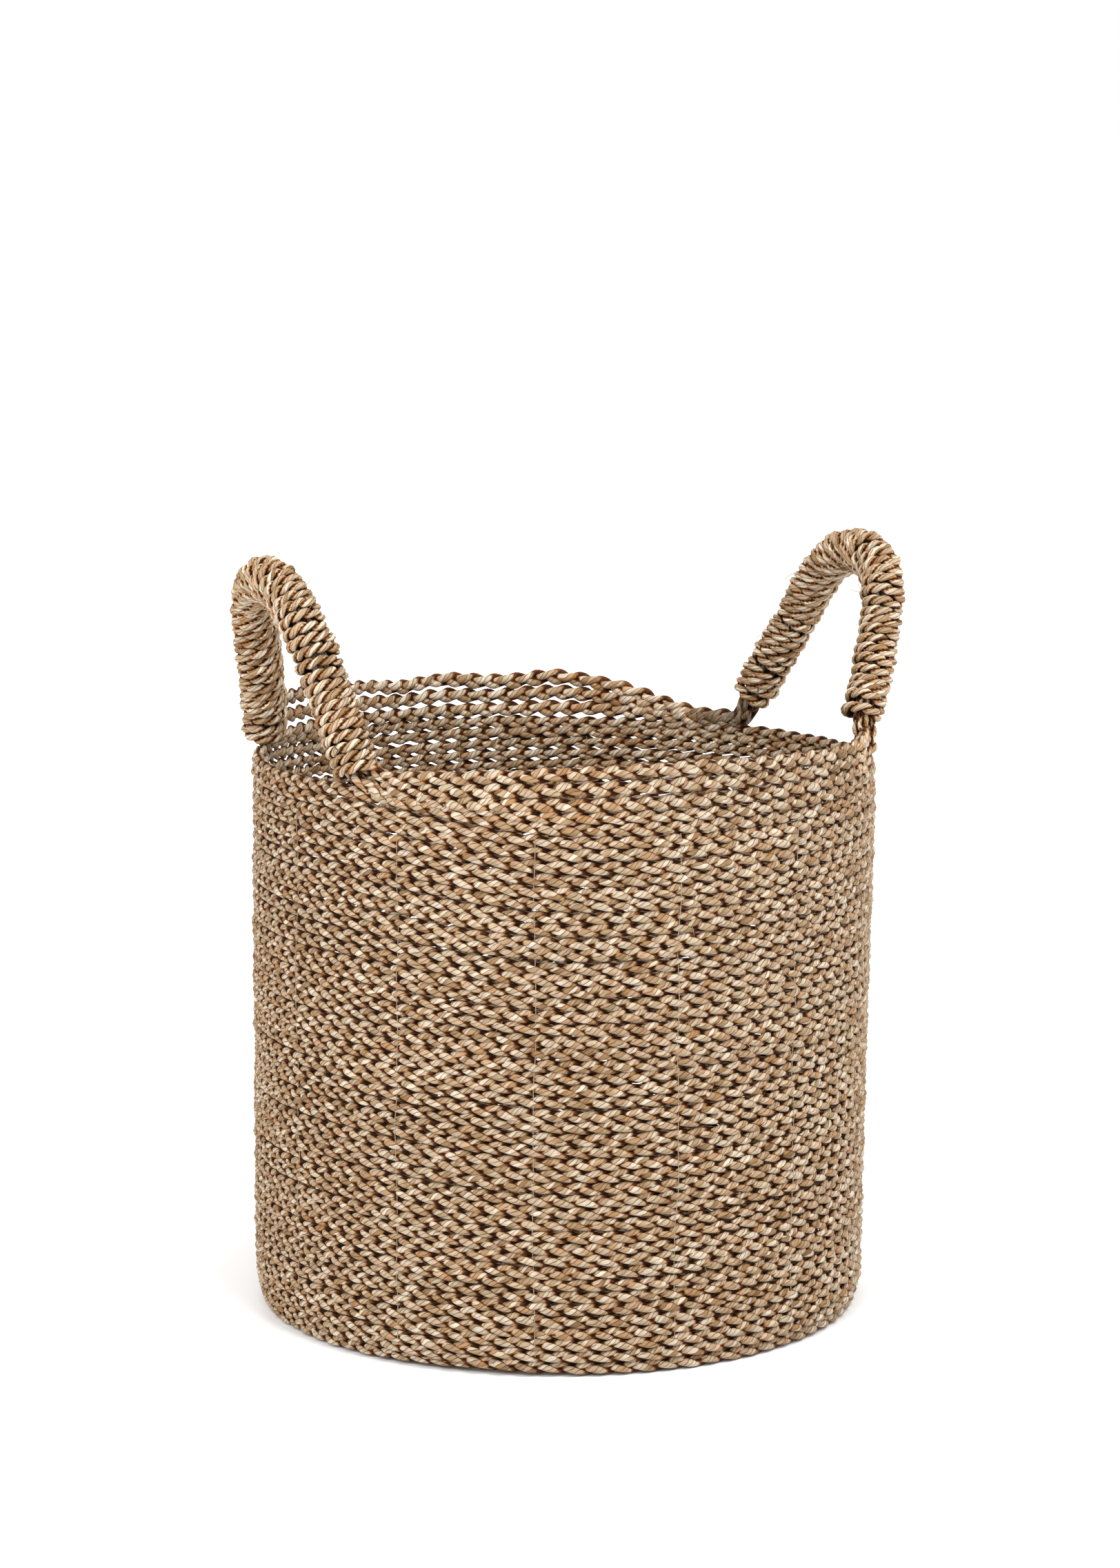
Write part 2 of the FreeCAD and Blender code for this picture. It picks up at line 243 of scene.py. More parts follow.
def circling(radius, angle, up):
    """A line round the basket's axis, from its radius, its angle and its height at each place."""
    return np.column_stack([radius * np.cos(angle), radius * np.sin(angle), up])


def on_circle(radius, degrees):
    """A place on a circle round a plait or leg, as how far outwards and how far across."""
    turn = math.radians(degrees)
    return radius * np.array([math.cos(turn), math.sin(turn)])


# ---- Strands swept along lines ----

def section(name, deep, wide, corners):
    """An oval outline that a strand is drawn with."""
    curve = bpy.data.curves.new(name, "CURVE")
    curve.dimensions = "2D"
    spline = curve.splines.new("POLY")
    spline.points.add(corners - 1)
    for index, point in enumerate(spline.points):
        angle = TURN * index / corners
        point.co = (deep / 2 * math.cos(angle), wide / 2 * math.sin(angle), 0, 1)
    spline.use_cyclic_u = True
    outline = bpy.data.objects.new(name, curve)
    scene.collection.objects.link(outline)
    outline.hide_render = True
    return outline


def swept(line, girth, outline, twist="Z_UP"):
    """One strand: the outline drawn along a line, with its ends capped."""
    curve = bpy.data.curves.new("strand", "CURVE")
    curve.dimensions = "3D"
    curve.twist_mode = twist
    spline = curve.splines.new("POLY")
    spline.points.add(len(line) - 1)
    spline.points.foreach_set("co", np.column_stack([line, np.ones(len(line))]).ravel())
    spline.points.foreach_set("radius", np.asarray(girth, float))
    curve.bevel_mode = "OBJECT"
    curve.bevel_object = outline
    curve.use_fill_caps = True
    holder = bpy.data.objects.new("strand", curve)
    scene.collection.objects.link(holder)
    graph = bpy.context.evaluated_depsgraph_get()
    mesh = bpy.data.meshes.new_from_object(holder.evaluated_get(graph))
    bpy.data.objects.remove(holder)
    bpy.data.curves.remove(curve)
    length = np.linalg.norm(np.diff(line, axis=0), axis=1).sum()
    lay_flat(mesh, length, len(outline.data.splines[0].points))
    return mesh


def loop_corners(mesh):
    corners = np.empty(len(mesh.loops), int)
    mesh.loops.foreach_get("vertex_index", corners)
    return corners


def map_of(layer):
    values = np.empty(len(layer.data) * 2)
    layer.data.foreach_get("uv", values)
    return values.reshape(-1, 2)


BAKE_MAP = "OFBake"
CAP_ROOM = 6 * MM         # room on the bake map for a strand's end cap
CAP_SIZE = 2 * MM
ROW_MARGIN = 0.03


def lay_flat(mesh, length, corners):
    """Starts the strand's bake map: metres along its length, and its end caps beside its ends."""
    flat = map_of(mesh.uv_layers[0]) * np.array([length, 1.0])
    index = loop_corners(mesh)
    turn = TURN * (index % corners) / corners
    disc = np.column_stack([CAP_SIZE * np.cos(turn), 0.5 + 0.16 * np.sin(turn)])
    first, last = index < corners, (index >= corners) & (index < 2 * corners)
    flat[first] = disc[first] + np.array([-CAP_ROOM, 0])
    flat[last] = disc[last] + np.array([length + CAP_ROOM, 0])
    layer = mesh.uv_layers.new(name=BAKE_MAP)
    layer.data.foreach_set("uv", flat.ravel())


def fold_bake_map(mesh):
    """Folds the one long strip of the bake map into rows that fill a square."""
    layer = mesh.uv_layers[BAKE_MAP]
    flat = map_of(layer)
    start = flat[:, 0].min()
    length = flat[:, 0].max() - start
    girth = 3 * STRAND_WIDE
    rows = max(1, math.ceil(math.sqrt(length / girth)))
    run = length / rows
    firsts = np.empty(len(mesh.polygons), int)
    totals = np.empty(len(mesh.polygons), int)
    mesh.polygons.foreach_get("loop_start", firsts)
    mesh.polygons.foreach_get("loop_total", totals)
    lowest = np.minimum.reduceat(flat[:, 0], firsts) - start
    widest = (np.maximum.reduceat(flat[:, 0], firsts) - start - lowest).max()
    row = np.repeat(np.minimum(np.floor(lowest / run), rows - 1), totals)
    across = (flat[:, 0] - start - row * run) / (run + widest)
    up = (row + ROW_MARGIN + (1 - 2 * ROW_MARGIN) * flat[:, 1]) / rows
    layer.data.foreach_set("uv", np.column_stack([across, up]).ravel())


def corners_of(mesh):
    points = np.empty(len(mesh.vertices) * 3)
    mesh.vertices.foreach_get("co", points)
    return points.reshape(-1, 3)


def mark_strand(mesh, number, line, shade, size):
    """Gives a strand its own map (metres along, turns round plus its number) and its painted shade.
    """
    points = corners_of(mesh)
    strand = mesh.uv_layers["UVMap"]
    around = map_of(strand)[:, 1]
    along = points[loop_corners(mesh), 0]
    strand.name = "strand"
    strand.data.foreach_set("uv", np.column_stack([along, around + number]).ravel())
    deep = np.interp(points[:, 0], line[:, 0], line[:, 1])
    wide = np.interp(points[:, 0], line[:, 0], line[:, 2])
    here = np.interp(points[:, 0], line[:, 0], size)[:, None]
    openness = mesh.attributes.new("open", "FLOAT", "POINT")
    value = shade(points[:, 1:] / here, np.column_stack([deep, wide]) / here)
    openness.data.foreach_set("value", value.astype(np.float32))


def joined(meshes):
    """Several strands or bundles as one mesh, with each end cap welded to its tube."""
    shell = bmesh.new()
    reach = 0.0
    for mesh in meshes:
        layer = mesh.uv_layers[BAKE_MAP]
        flat = map_of(layer)
        flat[:, 0] += reach + CAP_ROOM - flat[:, 0].min()
        reach = flat[:, 0].max()
        layer.data.foreach_set("uv", flat.ravel())
        shell.from_mesh(mesh)
        bpy.data.meshes.remove(mesh)
    bmesh.ops.remove_doubles(shell, verts=shell.verts, dist=1e-6)
    mesh = bpy.data.meshes.new("joined")
    shell.to_mesh(mesh)
    shell.free()
    return mesh


def turned_out(points, middles):
    """1 where a strand faces away from the plait's middle, -1 where it faces the middle."""
    away = points - middles
    reach = np.linalg.norm(away, axis=1) * np.maximum(np.linalg.norm(middles, axis=1), 0.1 * MM)
    return (away * middles).sum(1) / np.maximum(reach, 1e-9)


def crest_shade(edges):
    """Painted shade: 1 on a plait's outer faces, 0 in the dark between its strands. edges takes the
    painted shade off its edges.
    """
    def shade(points, middles):
        deep = np.abs(points[:, 0]) / (DIVE + STRAND_DEEP / 2)
        wide = np.abs(points[:, 1]) / (SWING + STRAND_WIDE / 2)
        reach = smooth_between(0.12, 0.62, np.maximum(deep, edges * wide))
        return reach * smooth_between(-0.45, 0.50, turned_out(points, middles))
    return shade


def plait(start, end, seed, outline, scale=None, edges=0.0, per_period=STEPS_PER_PERIOD):
    """Three plaited strands along X, from one length to another, as one mesh."""
    count = max(8, int(round((end - start) / PERIOD * per_period)))
    along = np.linspace(start, end, count + 1)
    size = np.ones_like(along) if scale is None else scale(along)
    turn = TURN * along / PERIOD + 2.6 * wander(along, 0.24, seed)
    tilt = 0.38 + 0.24 * wander(along, 0.09, seed + 1)
    strands = []
    for index in range(3):
        phase = turn + TURN * index / 3
        swing = SWING * (1 + 0.18 * wander(along, 0.021, seed + 11 + index))
        dive = DIVE * (1 + 0.24 * wander(along, 0.024, seed + 21 + index))
        wide = swing * np.sin(phase)
        deep = -dive * np.sin(2 * phase)
        plump = 0.90 + 0.15 * np.abs(np.sin(2 * phase))
        girth = plump + 0.17 * wander(along, 0.015, seed + 31 + index)
        turned_deep = deep * np.cos(tilt) + wide * np.sin(tilt)
        turned_wide = wide * np.cos(tilt) - deep * np.sin(tilt)
        line = np.column_stack([along, turned_deep * size, turned_wide * size])
        mesh = swept(line, girth * size, outline)
        mark_strand(mesh, index, line, crest_shade(edges), size)
        strands.append(mesh)
    return joined(strands)


def rope(start, end, seed, outline):
    """Two twisted plies along X, from one length to another, as one mesh."""
    # Painted shade: a ply is darkened on its side towards the handle and where the two plies meet.
    def shade(points, middles):
        outer = smooth_between(-1.4 * MM, 1.6 * MM, -points[:, 0])
        return outer * smooth_between(-0.5, 0.4, turned_out(points, middles))

    count = max(8, int(round((end - start) / PLY_TWIST * STEPS_PER_TWIST)))
    along = np.linspace(start, end, count + 1)
    phase = TURN * along / PLY_TWIST + 1.4 * wander(along, 0.09, seed)
    plies = []
    for index in range(2):
        spread = PLY_WIDE * 0.40 * (1 + 0.12 * wander(along, 0.03, seed + 5 + index))
        turned = phase + math.pi * index
        line = np.column_stack([along, spread * np.cos(turned), -spread * np.sin(turned)])
        girth = 1 + 0.14 * wander(along, 0.013, seed + 9 + index)
        mesh = swept(line, girth, outline)
        mark_strand(mesh, FIRST_PLY + index, line, shade, np.ones_like(along))
        plies.append(mesh)
    return joined(plies)


def laid(mesh, route):
    """Bends a straight mesh along a route. Nothing passes through the floor."""
    points = route.bend(corners_of(mesh))
    low = points[:, 2] < REST
    points[low, 2] = REST * np.exp(points[low, 2] / REST - 1)
    mesh.vertices.foreach_set("co", points.ravel())
    mesh.update()
    return mesh


def piece(name, meshes, material, body, slot, *nodes):
    """Makes one named piece from meshes, with its material. It rides on a body, if one is named."""
    mesh = joined(meshes) if len(meshes) > 1 else meshes[0]
    mesh.name = name
    fold_bake_map(mesh)
    mesh.shade_smooth()
    mesh.materials.clear()
    mesh.materials.append(material)
    made = bpy.data.objects.new(name, mesh)
    scene.collection.objects.link(made)
    if nodes:
        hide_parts(*nodes)
    if body:
        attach(made, body)
    return made


# ---- Materials ----

class Nodes:
    """A short way to write a material's nodes."""

    def __init__(self, name):
        self.material = bpy.data.materials.new(name)
        self.material.use_nodes = True
        self.tree = self.material.node_tree
        self.shader = self.tree.nodes["Principled BSDF"]

    def add(self, kind, settings=(), **inputs):
        node = self.tree.nodes.new(kind)
        for key, value in dict(settings).items():
            setattr(node, key, value)
        for key, value in inputs.items():
            self.feed(node.inputs[key.replace("_", " ")], value)
        return node

    def feed(self, socket, value):
        if isinstance(value, bpy.types.NodeSocket):
            self.tree.links.new(value, socket)
        else:
            socket.default_value = value

    def maths(self, operation, first, second=0.0):
        node = self.tree.nodes.new("ShaderNodeMath")
        node.operation = operation
        self.feed(node.inputs[0], first)
        self.feed(node.inputs[1], second)
        return node.outputs[0]

    def mixed(self, share, first, second, blend="MIX"):
        node = self.tree.nodes.new("ShaderNodeMix")
        node.data_type = "RGBA"
        node.blend_type = blend
        self.feed(node.inputs[0], share)
        self.feed(node.inputs[6], first)
        self.feed(node.inputs[7], second)
        return node.outputs[2]

    def ramp(self, value, stops):
        node = self.tree.nodes.new("ShaderNodeValToRGB")
        self.feed(node.inputs[0], value)
        band = node.color_ramp
        while len(band.elements) < len(stops):
            band.elements.new(0.5)
        for element, (place, colour) in zip(band.elements, stops):
            element.position = place
            element.color = (*colour, 1)
        return node.outputs[0]

    def noise(self, vector, scale, detail=2.0):
        node = self.add("ShaderNodeTexNoise", Vector=vector, Scale=scale, Detail=detail)
        return node.outputs["Fac"]

    def where(self, across, up, depth=0.0):
        node = self.add("ShaderNodeCombineXYZ", X=across, Y=up, Z=depth)
        return node.outputs[0]


# Colours of the dry leaf. CREVICE, DEEP_SHADE and EDGE_SHADE are painted shade, for the dark
# between strands.
DRY_DARK = (0.175, 0.094, 0.038)
TAN = (0.315, 0.200, 0.104)
STRAW = (0.435, 0.325, 0.218)
PALE = (0.62, 0.540, 0.430)
RUSSET = (0.36, 0.175, 0.062)
GREY_GREEN = (0.36, 0.305, 0.205)
# Painted shade, darkest between the strands.
CREVICE = (0.045, 0.017, 0.005)
TWIST_LINE = (0.085, 0.040, 0.014)
# Painted shade, lighter steps towards a strand's open face.
DEEP_SHADE = (0.30, 0.135, 0.045)
EDGE_SHADE = (0.83, 0.63, 0.43)


def seagrass(name, tone=1.0):
    """Dry twisted leaf: each leaf of a strand has its own colour, which changes along it."""
    node = Nodes(name)
    map_ = node.add("ShaderNodeUVMap", {"uv_map": "strand"}).outputs[0]
    parts = node.add("ShaderNodeSeparateXYZ", Vector=map_)
    along, around = parts.outputs[0], parts.outputs[1]
    strand = node.maths("FLOOR", around)
    here = node.where(node.maths("MULTIPLY", along, 110.0), node.maths("MULTIPLY", strand, 3.3))
    drift = node.noise(here, 1.0, 2.0)
    # Whole numbers of this value are the edges between leaves. They wind round the strand.
    turned = node.maths("MULTIPLY", around, LEAVES)
    leaf = node.maths("SUBTRACT", turned, node.maths("MULTIPLY", along, LEAVES / LEAF_LAY))
    leaf = node.maths("ADD", leaf, node.maths("MULTIPLY", drift, 2.2))
    ridge = node.maths("ABSOLUTE", node.maths("SINE", node.maths("MULTIPLY", leaf, math.pi)))
    edge = node.add("ShaderNodeMapRange", Value=ridge, From_Max=0.36, To_Min=1.0, To_Max=0.0)
    groove = edge.outputs[0]
    number = node.maths("FLOORED_MODULO", node.maths("FLOOR", leaf), LEAVES)
    grain = node.where(node.maths("MULTIPLY", leaf, 5.0), node.maths("MULTIPLY", along, 60.0))
    fibre = node.noise(grain, 1.5, 3.0)
    # Each leaf and strand has its own row of the noise. A row changes slowly along the strand.
    own = node.maths("MULTIPLY", number, 5.3)
    own = node.maths("ADD", own, node.maths("MULTIPLY", strand, 1.7))
    leaf_tone = node.noise(node.where(node.maths("MULTIPLY", along, 42.0), own), 1.0, 2.0)
    stops = [(0.28, DRY_DARK), (0.40, TAN), (0.50, STRAW), (0.62, PALE), (0.74, STRAW)]
    colour = node.ramp(leaf_tone, stops)
    tint = node.noise(node.where(node.maths("MULTIPLY", along, 17.0), own, 5.0), 1.0, 1.0)
    batch = node.noise(node.where(node.maths("MULTIPLY", along, 3.5), strand, 9.0), 1.0, 1.0)
    russet = node.ramp(tint, [(0.55, (0, 0, 0)), (0.70, (1, 1, 1))])
    grey = node.ramp(tint, [(0.30, (1, 1, 1)), (0.42, (0, 0, 0))])
    colour = node.mixed(node.maths("MULTIPLY", russet, 0.65), colour, (*RUSSET, 1))
    colour = node.mixed(node.maths("MULTIPLY", grey, 0.45), colour, (*GREY_GREEN, 1))
    streaks = [(0.33, (0.80, 0.74, 0.66)), (0.50, (1, 1, 1)), (0.70, (1.12, 1.11, 1.09))]
    colour = node.mixed(1.0, colour, node.ramp(fibre, streaks), "MULTIPLY")
    worn = node.ramp(drift, [(0.36, (0.25, 0.25, 0.25)), (0.58, (1, 1, 1))])
    colour = node.mixed(node.maths("MULTIPLY", groove, worn), colour, (*TWIST_LINE, 1))
    # Painted shade: the colour darkens towards CREVICE where the open value is low, between the
    # strands.
    opening = node.add("ShaderNodeAttribute", {"attribute_name": "open"}).outputs["Fac"]
    shades = [(0.0, CREVICE), (0.22, DEEP_SHADE), (0.42, EDGE_SHADE), (0.62, (1, 1, 1))]
    colour = node.mixed(1.0, colour, node.ramp(opening, shades), "MULTIPLY")
    # tone scales the whole colour. For the back rim and the right back leg it is painted light and
    # painted shade.
    level = node.add("ShaderNodeMapRange", Value=batch, From_Min=0.3, From_Max=0.7,
                     To_Min=0.84 * tone, To_Max=1.12 * tone)
    colour = node.mixed(1.0, colour, level.outputs[0], "MULTIPLY")
    node.feed(node.shader.inputs["Base Color"], colour)
    rough = node.add("ShaderNodeMapRange", Value=fibre, To_Min=0.55, To_Max=0.85).outputs[0]
    node.feed(node.shader.inputs["Roughness"], rough)
    node.shader.inputs["Specular IOR Level"].default_value = 0.15
    height = node.maths("MULTIPLY", fibre, 0.35)
    height = node.maths("SUBTRACT", height, node.maths("MULTIPLY", groove, 0.8))
    bump = node.add("ShaderNodeBump", Height=height, Strength=0.9, Distance=0.0007)
    node.feed(node.shader.inputs["Normal"], bump.outputs[0])
    return node.material


def thread_material():
    node = Nodes("sewing_thread")
    place = node.add("ShaderNodeTexCoord").outputs["Object"]
    tone = node.noise(place, 900.0, 2.0)
    colour = node.ramp(tone, [(0.3, (0.21, 0.155, 0.10)), (0.7, (0.43, 0.35, 0.26))])
    node.feed(node.shader.inputs["Base Color"], colour)
    node.shader.inputs["Roughness"].default_value = 0.8
    bump = node.add("ShaderNodeBump", Height=tone, Strength=0.5, Distance=0.0003)
    node.feed(node.shader.inputs["Normal"], bump.outputs[0])
    return node.material


plaited = seagrass("plaited_seagrass")
# Painted light: the back rim is painted paler, since from the front it is seen from the basket's
# shaded inside.
back_rim_painted_light = seagrass("painted_light_plaited_seagrass", tone=1.14)
# Painted shade: the right back leg is painted darker, for the shadow it stands in. The right front
# leg is paler.
shaded_and_pale_legs = {"right_back": seagrass("painted_shade_leg_seagrass", tone=0.58),
                "right_front": seagrass("pale_leg_seagrass", tone=1.3)}
roped = seagrass("roped_seagrass", tone=1.16)
sewing = thread_material()

oval = section("strand_oval", STRAND_DEEP, STRAND_WIDE, 8)
small_oval = section("base_strand_oval", STRAND_DEEP, STRAND_WIDE, 6)
ply_round = section("ply_round", PLY_WIDE, PLY_WIDE, 8)
thread_round = section("thread_round", THREAD, THREAD, 5)
fibre_round = section("fibre_round", THREAD, THREAD, 5)


# ---- Base and wall ----

def wall_radius(z):
    """The wall's middle radius, drawn in at the rounded foot."""
    tucked = np.clip(1 - (z - wall_foot - PITCH / 2) / (2.6 * PITCH), 0, 1)
    return WALL_MIDDLE - FOOT_TUCK * tucked ** 2


def wall_route():
    """The wall's one long winding, from the low rim down. Each course steps down beside a leg."""
    travelled = np.arange(0, 360 * COURSES + STEP_SPAN + 1, 3.0)
    angle = np.radians(STEP_START + travelled)
    course = np.floor(travelled / 360)
    stepped = smooth_between(0, STEP_SPAN, travelled - 360 * course)
    level_course = (course == 0) | (course == COURSES)
    steps = np.where(level_course, 0, stepped) + np.clip(course - 1, 0, COURSES - 1)
    z = low_rim - PITCH * (0.5 + np.clip(steps, 0, COURSES - 1))
    high = np.clip((z - wall_foot) / (low_rim - wall_foot), 0, 1)
    left = smooth_between(0.35, 0.95, -np.cos(angle))
    sway = wander(travelled, 66, SWAY_SEED)
    z = z + high ** 4 * (LEFT_LIFT * left + 1.0 * MM * sway)
    z = z + 0.6 * MM * wander(travelled, 28, SWAY_SEED + 1)
    radius = wall_radius(z) + 0.5 * MM * wander(travelled, 50, SWAY_SEED + 2)
    line = circling(radius, angle, z)
    return Route(settled(line), radial(line))


def base_route():
    """The base's flat spiral, from the middle outwards, with its outer face downwards.

    The plait thins out over one last turn, which fills the wedge between the spiral and the wall.
    """
    turns = BASE_EDGE / COIL_PITCH - 0.5
    angle = np.arange(0.6, (turns + 0.95) * TURN, math.radians(4))
    size = np.clip(1 - (angle / TURN - turns), 0.25, 1)
    radius = np.minimum(COIL_PITCH * angle / TURN, BASE_EDGE - COIL_PITCH * size / 2)
    line = circling(radius, angle, np.full_like(angle, base_top / 2))
    return Route(settled(line), np.tile([0.0, 0.0, -1.0], (len(line), 1))), size


def make_wall():
    """The wall's one plait, in lengths. It thins out where it begins and ends."""
    route = wall_route()
    cuts = np.linspace(0, route.length, WALL_PIECES + 1)
    taper = WALL_MIDDLE * math.radians(STEP_SPAN)

    def scale(along):
        from_end = np.minimum(along, route.length - along)
        return 0.35 + 0.65 * smooth_between(0, taper, from_end)

    for index in range(WALL_PIECES):
        mesh = laid(plait(cuts[index], cuts[index + 1], WALL_SEED, oval, scale), route)
        number = WALL_PIECES - index
        node = f"wall_plait_{number}"
        piece(f"wall_length_{number}", [mesh], plaited, "basket", "seagrass_plait", node)


def make_base():
    """The base's plait, in one piece."""
    route, size = base_route()

    def scale(along):
        return np.interp(along, route.reach, size)

    straight = plait(0, route.length, BASE_SEED, small_oval, scale, per_period=BASE_STEPS)
    mesh = laid(straight, route)
    piece("base_spiral", [mesh], plaited, "basket", "seagrass_plait", "base_coil")


# ---- Handles and raised rim ----

def flat_handle():
    """A handle's plain shape, drawn flat: two straight splayed legs and a round arch over them."""
    half = WALL_MIDDLE * math.sin(LEG_ANGLE)
    rise = (apex.z - low_rim) / math.cos(handle_lean)
    splay = math.sin(LEG_SPLAY), math.cos(LEG_SPLAY)
    centre = (rise - half * splay[1]) / (1 - splay[0])
    arch = rise - centre
    leg = (centre + arch * splay[0]) / splay[1]
    climbed = np.arange(0, leg, 1.5 * MM)
    legs = np.column_stack([-(half - climbed * splay[0]), climbed * splay[1]])
    bow = np.linspace(math.pi - LEG_SPLAY, LEG_SPLAY, 90)
    over = np.column_stack([arch * np.cos(bow), centre + arch * np.sin(bow)])
    return np.concatenate([legs, over, legs[::-1] * np.array([-1, 1])])


def handle_line(side):
    """A handle's middle line, from its front leg's root over the arch to its back leg's root."""
    flat = flat_handle()
    out = WALL_MIDDLE * math.cos(LEG_ANGLE) + flat[:, 1] * math.sin(handle_lean)
    up = low_rim + flat[:, 1] * math.cos(handle_lean)
    share = np.linspace(0, 1, len(out))
    stand = np.array(RIGHT_STAND if side > 0 else LEFT_STAND, float)
    line = np.column_stack([side * out, flat[:, 0], up])
    line[:, 0] += np.interp(share, stand[:, 0], stand[:, 1] * MM)
    if side < 0:
        line[:, 2] -= LEFT_SAG * np.sin(math.pi * share) ** 2
    return settled(softened(line, 12))


def handle_route(side):
    line = handle_line(side)
    outwards = np.array([side * math.cos(handle_lean), 0.0, -math.sin(handle_lean)])
    return Route(line, np.tile(outwards, (len(line), 1)))


def edge_height(degrees, edge):
    """How high a raised rim's top edge is at these places round it."""
    table = np.array(edge, float)
    return np.interp(degrees, table[:, 0], table[:, 1] * MM)


def rim_route(edge, first_side, last_side, turns):
    """The middle line of a raised rim's three plaits, from inside one leg to inside the next."""
    def leg(side, back, lowest):
        route = handle_route(side)
        reach = np.linspace(LEG_END, lowest, 5)
        return route.at(route.length - reach if back else reach, route.line)

    back = edge is BACK_EDGE
    (first_low, first_clear), (last_low, last_clear) = turns
    span = np.arange(edge[0][0] + first_clear, edge[-1][0] - last_clear + 0.1, 2.0)
    angle = np.radians(span)
    middle = (low_rim + edge_height(span, edge)) / 2
    arc = settled(circling(WALL_MIDDLE, angle, middle))
    ends = leg(first_side, back, first_low), leg(last_side, back, last_low)[::-1]
    line = rounded(np.concatenate([ends[0], arc, ends[1]]), 3)
    return Route(line, radial(line))


def bundle_offsets(route, edge):
    """Where the three plaits lie about a rim's middle line: stacked, and bunched up in the legs."""
    degrees = np.degrees(np.arctan2(route.line[:, 1], route.line[:, 0]))
    apart = (edge_height(degrees, edge) - low_rim) / 3
    from_leg = np.minimum(route.reach, route.length - route.reach)
    loose = smooth_between(28 * MM, 62 * MM, from_leg)[:, None]
    spread = CORE_SPREAD * (1 + 0.20 * smooth_between(12 * MM, 34 * MM, from_leg))[:, None]
    places = []
    for row, turn in ((-1, 330), (0, 210), (1, 90)):
        stacked = np.column_stack([np.zeros_like(apart), row * apart])
        bunched = on_circle(spread, turn)
        places.append(loose * stacked + (1 - loose) * bunched)
    return places, loose[:, 0]


def make_rim(name, edge, first_side, last_side, legs, turns):
    """Three plaits along one half of the rim. Their ends turn up side by side into the handles."""
    route = rim_route(edge, first_side, last_side, turns)
    places, loose = bundle_offsets(route, edge)
    near = {legs[0]: [], legs[1]: []}
    at_back = edge is BACK_EDGE
    # The back rim's plait gets painted light, the front rim's its plain colour.
    toned_material = back_rim_painted_light if at_back else plaited
    for index, place in enumerate(places):
        line = route.line + route.out * place[:, :1] + route.across * place[:, 1:]
        own = Route(line, route.out)
        size = 0.98 + (0.18 if at_back else 0.11) * loose

        def scale(along):
            return np.interp(along, own.reach, size)

        ends = (0, RIM_CUT, own.length - RIM_CUT, own.length)
        seed = RIM_SEED + 40 * index + (7 if at_back else 0)
        parts = []
        for start, end in zip(ends, ends[1:]):
            straight = plait(start, end, seed, oval, scale, 0.25, FINE_STEPS)
            parts.append(laid(straight, own))
        near[legs[0]].append(parts[0])
        near[legs[1]].append(parts[2])
        number = index + 1
        node = f"{name}_rim_plait_{number}"
        piece(f"{name}_rim_strands_{number}", [parts[1]], toned_material, "basket", "seagrass_plait", node)
    for leg, meshes in near.items():
        # The right back leg's plaits get painted shade, the right front leg's a paler colour.
        toned_material = shaded_and_pale_legs.get(leg, plaited)
        made = piece(f"{leg}_leg_plaits", meshes, toned_material, None, "seagrass_plait", f"{leg}_leg_root")
        bend_with_leg(made, leg)


def bend_with_leg(made, leg):
    """Bakes a piece's place into its mesh. Where its leg bends is worked out but not used."""
    side, end = leg.split("_")
    route = handle_route(1 if side == "right" else -1)
    reach = np.array(BEND_SPAN)
    if end == "back":
        reach = route.length - reach
    start, stop = route.at(reach, route.line)
    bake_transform(made)


def make_core(side, name):
    """The three plaits inside a handle's rope."""
    route = handle_route(side)

    def scale(along):
        return np.full_like(along, 0.92)

    for index, turn in enumerate((90, 210, 330)):
        place = on_circle(CORE_SPREAD, turn)
        own = Route(route.line + route.out * place[0] + route.across * place[1], route.out)
        last = own.length - LEG_END
        straight = plait(LEG_END, last, CORE_SEED + index, oval, scale, 0.9, COARSE_STEPS)
        mesh = laid(straight, own)
        node = f"{name}_plait_{index + 1}"
        piece(f"{name}_core_{index + 1}", [mesh], plaited, name, "seagrass_plait", node)


def make_wrap(side, name, front_foot, back_foot):
    """The rope wound round a handle: one long rope in turns that lie close but not evenly.

    It begins and ends at a foot on each leg. Turns below WRAP_FOOT are pieces of their own.
    """
    centre = handle_route(side)
    seed = WRAP_SEED if side > 0 else WRAP_SEED + 50
    along = np.arange(front_foot, centre.length - back_foot, TURN_PITCH / STEPS_PER_TURN)
    middle = centre.at(along, centre.line)
    out = unit(centre.at(along, centre.out))
    across = unit(centre.at(along, centre.across))
    uneven = 0.26 * wander(along, 0.012, seed)
    turn = TURN * (along / TURN_PITCH + uneven)
    radius = TURN_RADIUS + 0.9 * MM * wander(along * 9, 0.035, seed + 1)
    # The right handle is slimmer on its front leg.
    if side > 0:
        radius -= 1.0 * MM * (1 - smooth_between(0.10, 0.20, along))
    # The rope's two ends are tucked in under its turns.
    from_end = np.minimum(along - along[0], along[-1] - along)
    radius -= 3.5 * MM * (1 - smooth_between(0, 2.2 * MM, from_end))
    way = out * np.cos(turn)[:, None] + across * np.sin(turn)[:, None]
    own = Route(middle + way * radius[:, None], way)
    cuts = np.interp([WRAP_FOOT, centre.length - WRAP_FOOT], along, own.reach)
    mesh = laid(rope(cuts[0], cuts[1], seed + 2, ply_round), own)
    piece(f"{name}_rope", [mesh], roped, name, "seagrass_rope", f"{name}_wrap")
    ends = {"front": (0, cuts[0], front_foot), "back": (cuts[1], own.length, back_foot)}
    for end, (first, last, foot) in ends.items():
        if foot < WRAP_FOOT:
            leg = f"{name.split('_')[0]}_{end}"
            mesh = laid(rope(first, last, seed + 2, ply_round), own)
            made = piece(f"{leg}_low_turns", [mesh], roped, None, "seagrass_rope")
            bend_with_leg(made, leg)


# ---- Sewing threads and loose fibres ----

def thread(line):
    """One sewing thread along a line."""
    mesh = swept(line, np.ones(len(line)), thread_round, "MINIMUM")
    mesh.uv_layers["UVMap"].name = "strand"
    return mesh


